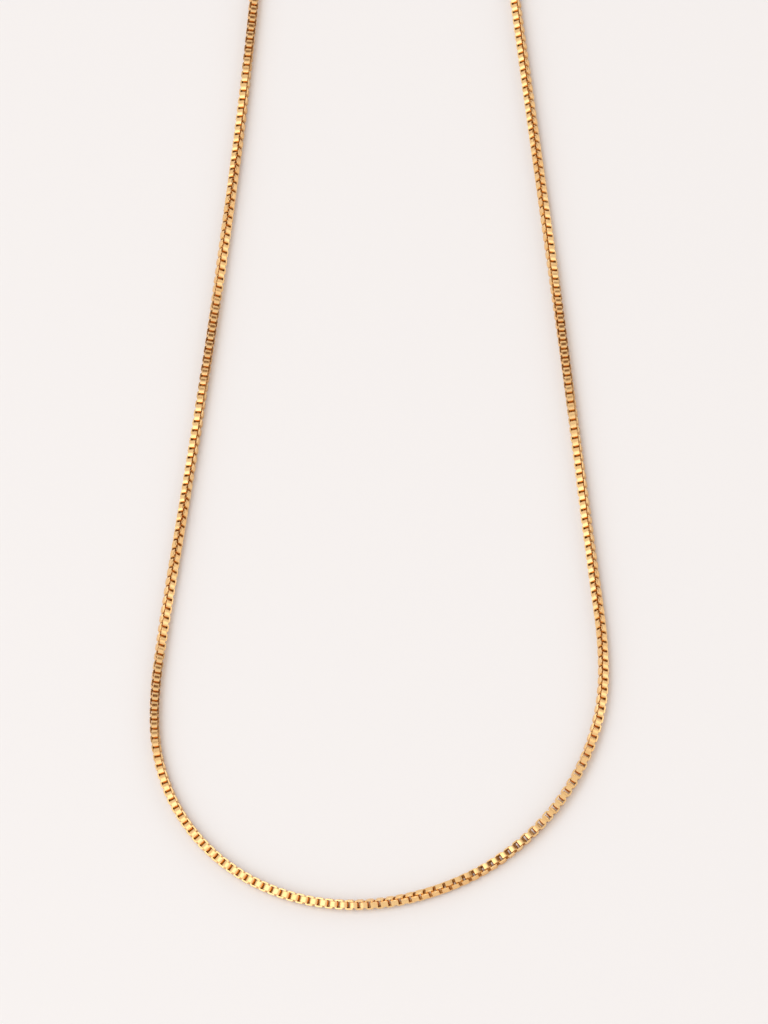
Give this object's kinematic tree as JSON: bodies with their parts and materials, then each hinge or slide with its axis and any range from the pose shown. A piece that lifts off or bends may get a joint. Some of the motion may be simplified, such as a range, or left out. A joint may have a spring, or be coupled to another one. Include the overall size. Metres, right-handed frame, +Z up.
{
  "type": "chain necklace",
  "caption": "Fine square box-chain necklace with a bolt ring clasp and end ring, laid out unfastened in a U on a table.",
  "frame": {"origin": "on the table, under the middle of the laid-out necklace", "axes": "+Z up from the table, +Y from the front of the necklace towards its open ends, +X to the right as laid"},
  "size_m": [0.0736, 0.2012, 0.0017],
  "materials": {
    "gold_plate": "polished",
    "spring_wire": "drawn"
  },
  "bodies": {
    "front_links": {"front_links": "gold_plate"},
    "left_links_01": {"left_links_01": "gold_plate"},
    "left_links_02": {"left_links_02": "gold_plate"},
    "left_links_03": {"left_links_03": "gold_plate"},
    "left_links_04": {"left_links_04": "gold_plate"},
    "left_links_05": {"left_links_05": "gold_plate"},
    "left_links_06": {"left_links_06": "gold_plate"},
    "left_links_07": {"left_links_07": "gold_plate"},
    "left_links_08": {"left_links_08": "gold_plate"},
    "left_links_09": {"left_links_09": "gold_plate"},
    "left_links_10": {"left_links_10": "gold_plate"},
    "left_links_11": {"left_links_11": "gold_plate"},
    "left_links_12": {"left_links_12": "gold_plate"},
    "left_links_13": {"left_links_13": "gold_plate"},
    "left_links_14": {"left_links_14": "gold_plate"},
    "left_links_15": {"left_links_15": "gold_plate"},
    "left_links_16": {"left_links_16": "gold_plate"},
    "left_links_17": {"left_links_17": "gold_plate"},
    "left_links_18": {"left_links_18": "gold_plate"},
    "left_links_19": {"left_links_19": "gold_plate"},
    "left_links_20": {"left_links_20": "gold_plate"},
    "left_links_21": {"left_links_21": "gold_plate"},
    "left_links_22": {"left_links_22": "gold_plate"},
    "left_links_23": {"left_links_23": "gold_plate"},
    "left_links_24": {"left_links_24": "gold_plate"},
    "left_links_25": {"left_links_25": "gold_plate"},
    "left_links_26": {"left_links_26": "gold_plate"},
    "right_links_01": {"right_links_01": "gold_plate"},
    "right_links_02": {"right_links_02": "gold_plate"},
    "right_links_03": {"right_links_03": "gold_plate"},
    "right_links_04": {"right_links_04": "gold_plate"},
    "right_links_05": {"right_links_05": "gold_plate"},
    "right_links_06": {"right_links_06": "gold_plate"},
    "right_links_07": {"right_links_07": "gold_plate"},
    "right_links_08": {"right_links_08": "gold_plate"},
    "right_links_09": {"right_links_09": "gold_plate"},
    "right_links_10": {"right_links_10": "gold_plate"},
    "right_links_11": {"right_links_11": "gold_plate"},
    "right_links_12": {"right_links_12": "gold_plate"},
    "right_links_13": {"right_links_13": "gold_plate"},
    "right_links_14": {"right_links_14": "gold_plate"},
    "right_links_15": {"right_links_15": "gold_plate"},
    "right_links_16": {"right_links_16": "gold_plate"},
    "right_links_17": {"right_links_17": "gold_plate"},
    "right_links_18": {"right_links_18": "gold_plate"},
    "right_links_19": {"right_links_19": "gold_plate"},
    "right_links_20": {"right_links_20": "gold_plate"},
    "right_links_21": {"right_links_21": "gold_plate"},
    "right_links_22": {"right_links_22": "gold_plate"},
    "right_links_23": {"right_links_23": "gold_plate"},
    "right_links_24": {"right_links_24": "gold_plate"},
    "right_links_25": {"right_links_25": "gold_plate"},
    "right_links_26": {"right_links_26": "gold_plate"},
    "clasp_ring": {"clasp_ring": "gold_plate"},
    "clasp": {"clasp_body": "gold_plate", "clasp_spring": "spring_wire"},
    "clasp_slide": {"clasp_rod": "gold_plate", "thumb_stub": "gold_plate"},
    "end_ring": {"end_ring": "gold_plate"}
  },
  "joints": [
    {"name": "left_lift_01", "type": "hinge", "parent": "front_links", "child": "left_links_01", "pos_m": [-0.00437, -0.09942, 0.00087], "axis": [0.0989, 0.8475, 0.5214], "range_deg": [-12, 12]},
    {"name": "left_swing_02", "type": "hinge", "parent": "left_links_01", "child": "left_links_02", "pos_m": [-0.01213, -0.09754, 0.00085], "axis": [-0.1083, -0.3105, 0.9444], "range_deg": [-8, 12]},
    {"name": "left_lift_03", "type": "hinge", "parent": "left_links_02", "child": "left_links_03", "pos_m": [-0.0193, -0.09402, 0.00083], "axis": [-0.5138, -0.828, -0.2246], "range_deg": [-12, 12]},
    {"name": "left_swing_04", "type": "hinge", "parent": "left_links_03", "child": "left_links_04", "pos_m": [-0.02552, -0.08903, 0.0008], "axis": [0.0913, 0.0932, -0.9915], "range_deg": [-12, 8]},
    {"name": "left_lift_05", "type": "hinge", "parent": "left_links_04", "child": "left_links_05", "pos_m": [-0.03051, -0.08279, 0.00078], "axis": [-0.8365, -0.5411, -0.0866], "range_deg": [-12, 12]},
    {"name": "left_swing_06", "type": "hinge", "parent": "left_links_05", "child": "left_links_06", "pos_m": [-0.03398, -0.0756, 0.00077], "axis": [0.0401, 0.0145, -0.9991], "range_deg": [-12, 9]},
    {"name": "left_lift_07", "type": "hinge", "parent": "left_links_06", "child": "left_links_07", "pos_m": [-0.03574, -0.06782, 0.00081], "axis": [0.9827, 0.1189, -0.1418], "range_deg": [-12, 12]},
    {"name": "left_swing_08", "type": "hinge", "parent": "left_links_07", "child": "left_links_08", "pos_m": [-0.03593, -0.05983, 0.00086], "axis": [0.3492, -0.0124, 0.937], "range_deg": [-9, 12]},
    {"name": "left_lift_09", "type": "hinge", "parent": "left_links_08", "child": "left_links_09", "pos_m": [-0.0352, -0.05186, 0.00087], "axis": [0.8359, -0.0954, -0.5405], "range_deg": [-12, 12]},
    {"name": "left_swing_10", "type": "hinge", "parent": "left_links_09", "child": "left_links_10", "pos_m": [-0.03421, -0.04392, 0.00084], "axis": [0.7006, -0.0942, 0.7073], "range_deg": [-11, 12]},
    {"name": "left_lift_11", "type": "hinge", "parent": "left_links_10", "child": "left_links_11", "pos_m": [-0.03311, -0.036, 0.00087], "axis": [-0.8331, 0.1152, -0.5409], "range_deg": [-12, 12]},
    {"name": "left_swing_12", "type": "hinge", "parent": "left_links_11", "child": "left_links_12", "pos_m": [-0.03202, -0.02807, 0.00086], "axis": [0.3572, -0.0482, -0.9328], "range_deg": [-12, 12]},
    {"name": "left_lift_13", "type": "hinge", "parent": "left_links_12", "child": "left_links_13", "pos_m": [-0.03097, -0.02014, 0.00081], "axis": [-0.9754, 0.1286, -0.1789], "range_deg": [-12, 12]},
    {"name": "left_swing_14", "type": "hinge", "parent": "left_links_13", "child": "left_links_14", "pos_m": [-0.02994, -0.01221, 0.00076], "axis": [-0.009, 0.0011, -1], "range_deg": [-12, 12]},
    {"name": "left_lift_15", "type": "hinge", "parent": "left_links_14", "child": "left_links_15", "pos_m": [-0.02895, -0.00427, 0.00082], "axis": [0.9731, -0.12, -0.1967], "range_deg": [-12, 12]},
    {"name": "left_swing_16", "type": "hinge", "parent": "left_links_15", "child": "left_links_16", "pos_m": [-0.02798, 0.00367, 0.00086], "axis": [0.3811, -0.0454, 0.9234], "range_deg": [-12, 12]},
    {"name": "left_lift_17", "type": "hinge", "parent": "left_links_16", "child": "left_links_17", "pos_m": [-0.02706, 0.01162, 0.00087], "axis": [0.8095, -0.093, -0.5797], "range_deg": [-12, 12]},
    {"name": "left_swing_18", "type": "hinge", "parent": "left_links_17", "child": "left_links_18", "pos_m": [-0.02616, 0.01957, 0.00085], "axis": [-0.6614, 0.0732, 0.7465], "range_deg": [-12, 12]},
    {"name": "left_lift_19", "type": "hinge", "parent": "left_links_18", "child": "left_links_19", "pos_m": [-0.0253, 0.02752, 0.00087], "axis": [-0.8709, 0.0926, -0.4826], "range_deg": [-12, 12]},
    {"name": "left_swing_20", "type": "hinge", "parent": "left_links_19", "child": "left_links_20", "pos_m": [-0.02448, 0.03548, 0.00084], "axis": [0.2843, -0.0282, -0.9583], "range_deg": [-12, 12]},
    {"name": "left_lift_21", "type": "hinge", "parent": "left_links_20", "child": "left_links_21", "pos_m": [-0.02373, 0.04344, 0.00078], "axis": [-0.9927, 0.0903, -0.0802], "range_deg": [-12, 12]},
    {"name": "left_swing_22", "type": "hinge", "parent": "left_links_21", "child": "left_links_22", "pos_m": [-0.02304, 0.05141, 0.0008], "axis": [-0.1284, 0.0106, -0.9917], "range_deg": [-12, 12]},
    {"name": "left_lift_23", "type": "hinge", "parent": "left_links_22", "child": "left_links_23", "pos_m": [-0.02241, 0.05939, 0.00086], "axis": [0.9406, -0.07, -0.3322], "range_deg": [-12, 12]},
    {"name": "left_swing_24", "type": "hinge", "parent": "left_links_23", "child": "left_links_24", "pos_m": [-0.02186, 0.06737, 0.00086], "axis": [0.6029, -0.0381, 0.7969], "range_deg": [-12, 12]},
    {"name": "left_lift_25", "type": "hinge", "parent": "left_links_24", "child": "left_links_25", "pos_m": [-0.02142, 0.07536, 0.00087], "axis": [0.8205, -0.0395, 0.5703], "range_deg": [-12, 12]},
    {"name": "left_swing_26", "type": "hinge", "parent": "left_links_25", "child": "left_links_26", "pos_m": [-0.02111, 0.08335, 0.00084], "axis": [-0.2874, 0.0095, 0.9578], "range_deg": [-12, 12]},
    {"name": "right_lift_01", "type": "hinge", "parent": "front_links", "child": "right_links_01", "pos_m": [0.00361, -0.09957, 0.00086], "axis": [0.0595, -0.7727, 0.632], "range_deg": [-12, 12]},
    {"name": "right_swing_02", "type": "hinge", "parent": "right_links_01", "child": "right_links_02", "pos_m": [0.01145, -0.09804, 0.00083], "axis": [0.074, -0.2515, -0.965], "range_deg": [-8, 12]},
    {"name": "right_lift_03", "type": "hinge", "parent": "right_links_02", "child": "right_links_03", "pos_m": [0.01879, -0.0949, 0.00078], "axis": [-0.486, 0.8725, 0.0504], "range_deg": [-12, 12]},
    {"name": "right_swing_04", "type": "hinge", "parent": "right_links_03", "child": "right_links_04", "pos_m": [0.02519, -0.09014, 0.00086], "axis": [0.2394, -0.2593, 0.9356], "range_deg": [-12, 8]},
    {"name": "right_lift_05", "type": "hinge", "parent": "right_links_04", "child": "right_links_05", "pos_m": [0.0303, -0.08401, 0.00087], "axis": [-0.7325, 0.4881, 0.4746], "range_deg": [-12, 12]},
    {"name": "right_swing_06", "type": "hinge", "parent": "right_links_05", "child": "right_links_06", "pos_m": [0.03387, -0.07686, 0.00087], "axis": [0.5026, -0.1894, 0.8435], "range_deg": [-12, 9]},
    {"name": "right_lift_07", "type": "hinge", "parent": "right_links_06", "child": "right_links_07", "pos_m": [0.03573, -0.0691, 0.00086], "axis": [0.7602, -0.1021, -0.6416], "range_deg": [-12, 12]},
    {"name": "right_swing_08", "type": "hinge", "parent": "right_links_07", "child": "right_links_08", "pos_m": [0.03592, -0.06111, 0.00086], "axis": [0.6527, 0.0251, -0.7572], "range_deg": [-9, 12]},
    {"name": "right_lift_09", "type": "hinge", "parent": "right_links_08", "child": "right_links_09", "pos_m": [0.03518, -0.05315, 0.00087], "axis": [0.8666, 0.1059, 0.4876], "range_deg": [-12, 12]},
    {"name": "right_swing_10", "type": "hinge", "parent": "right_links_09", "child": "right_links_10", "pos_m": [0.03422, -0.04521, 0.00085], "axis": [0.2999, 0.0358, -0.9533], "range_deg": [-11, 12]},
    {"name": "right_lift_11", "type": "hinge", "parent": "right_links_10", "child": "right_links_11", "pos_m": [0.03329, -0.03726, 0.00082], "axis": [-0.977, -0.1136, -0.1802], "range_deg": [-12, 12]},
    {"name": "right_swing_12", "type": "hinge", "parent": "right_links_11", "child": "right_links_12", "pos_m": [0.03238, -0.02932, 0.00077], "axis": [-0.0591, -0.0068, 0.9982], "range_deg": [-12, 12]},
    {"name": "right_lift_13", "type": "hinge", "parent": "right_links_12", "child": "right_links_13", "pos_m": [0.03146, -0.02137, 0.00078], "axis": [-0.9914, -0.1151, 0.062], "range_deg": [-12, 12]},
    {"name": "right_swing_14", "type": "hinge", "parent": "right_links_13", "child": "right_links_14", "pos_m": [0.03053, -0.01342, 0.00082], "axis": [0.1843, 0.0217, 0.9826], "range_deg": [-12, 12]},
    {"name": "right_lift_15", "type": "hinge", "parent": "right_links_14", "child": "right_links_15", "pos_m": [0.02959, -0.00548, 0.00086], "axis": [0.9335, 0.1116, -0.3408], "range_deg": [-12, 12]},
    {"name": "right_swing_16", "type": "hinge", "parent": "right_links_15", "child": "right_links_16", "pos_m": [0.02863, 0.00246, 0.00087], "axis": [-0.4836, -0.0587, -0.8733], "range_deg": [-12, 12]},
    {"name": "right_lift_17", "type": "hinge", "parent": "right_links_16", "child": "right_links_17", "pos_m": [0.02766, 0.01041, 0.00086], "axis": [0.778, 0.0955, -0.6209], "range_deg": [-12, 12]},
    {"name": "right_swing_18", "type": "hinge", "parent": "right_links_17", "child": "right_links_18", "pos_m": [0.02668, 0.01835, 0.00085], "axis": [0.6691, 0.0822, -0.7386], "range_deg": [-12, 12]},
    {"name": "right_lift_19", "type": "hinge", "parent": "right_links_18", "child": "right_links_19", "pos_m": [0.02571, 0.02629, 0.00087], "axis": [-0.8258, -0.1014, -0.5547], "range_deg": [-12, 12]},
    {"name": "right_swing_20", "type": "hinge", "parent": "right_links_19", "child": "right_links_20", "pos_m": [0.02473, 0.03423, 0.00087], "axis": [-0.4529, -0.0556, 0.8899], "range_deg": [-12, 12]},
    {"name": "right_lift_21", "type": "hinge", "parent": "right_links_20", "child": "right_links_21", "pos_m": [0.02376, 0.04217, 0.00086], "axis": [-0.9291, -0.1141, -0.3518], "range_deg": [-12, 12]},
    {"name": "right_swing_22", "type": "hinge", "parent": "right_links_21", "child": "right_links_22", "pos_m": [0.02278, 0.05011, 0.00083], "axis": [-0.241, -0.0296, 0.9701], "range_deg": [-12, 12]},
    {"name": "right_lift_23", "type": "hinge", "parent": "right_links_22", "child": "right_links_23", "pos_m": [0.02181, 0.05805, 0.00082], "axis": [0.9788, 0.1202, 0.1657], "range_deg": [-12, 12]},
    {"name": "right_swing_24", "type": "hinge", "parent": "right_links_23", "child": "right_links_24", "pos_m": [0.02089, 0.06599, 0.00087], "axis": [0.4976, 0.0548, -0.8657], "range_deg": [-12, 12]},
    {"name": "right_lift_25", "type": "hinge", "parent": "right_links_24", "child": "right_links_25", "pos_m": [0.02007, 0.07395, 0.00086], "axis": [0.7684, 0.0745, -0.6356], "range_deg": [-12, 12]},
    {"name": "right_swing_26", "type": "hinge", "parent": "right_links_25", "child": "right_links_26", "pos_m": [0.01935, 0.08192, 0.00085], "axis": [-0.3238, -0.0271, -0.9457], "range_deg": [-12, 12]},
    {"name": "clasp_ring_swing", "type": "hinge", "parent": "left_links_26", "child": "clasp_ring", "pos_m": [-0.02091, 0.0911, 0.00075], "axis": [0.9998, -0.0182, 0], "range_deg": [-45, 45]},
    {"name": "clasp_swing", "type": "hinge", "parent": "clasp_ring", "child": "clasp", "pos_m": [-0.02086, 0.0937, 0.0006], "axis": [0.9998, -0.0182, 0], "range_deg": [-45, 45]},
    {"name": "clasp_open", "type": "hinge", "parent": "clasp", "child": "clasp_slide", "pos_m": [-0.0208, 0.09705, 0.0006], "axis": [0, 0, -1], "range_deg": [0, 56], "stiffness_Nm_per_rad": 0.002, "springref_deg": -28.65, "deforming": ["clasp_spring"]},
    {"name": "end_ring_swing", "type": "hinge", "parent": "right_links_26", "child": "end_ring", "pos_m": [0.01876, 0.08965, 0.00075], "axis": [0.9975, 0.0704, 0], "range_deg": [-45, 45]}
  ]
}
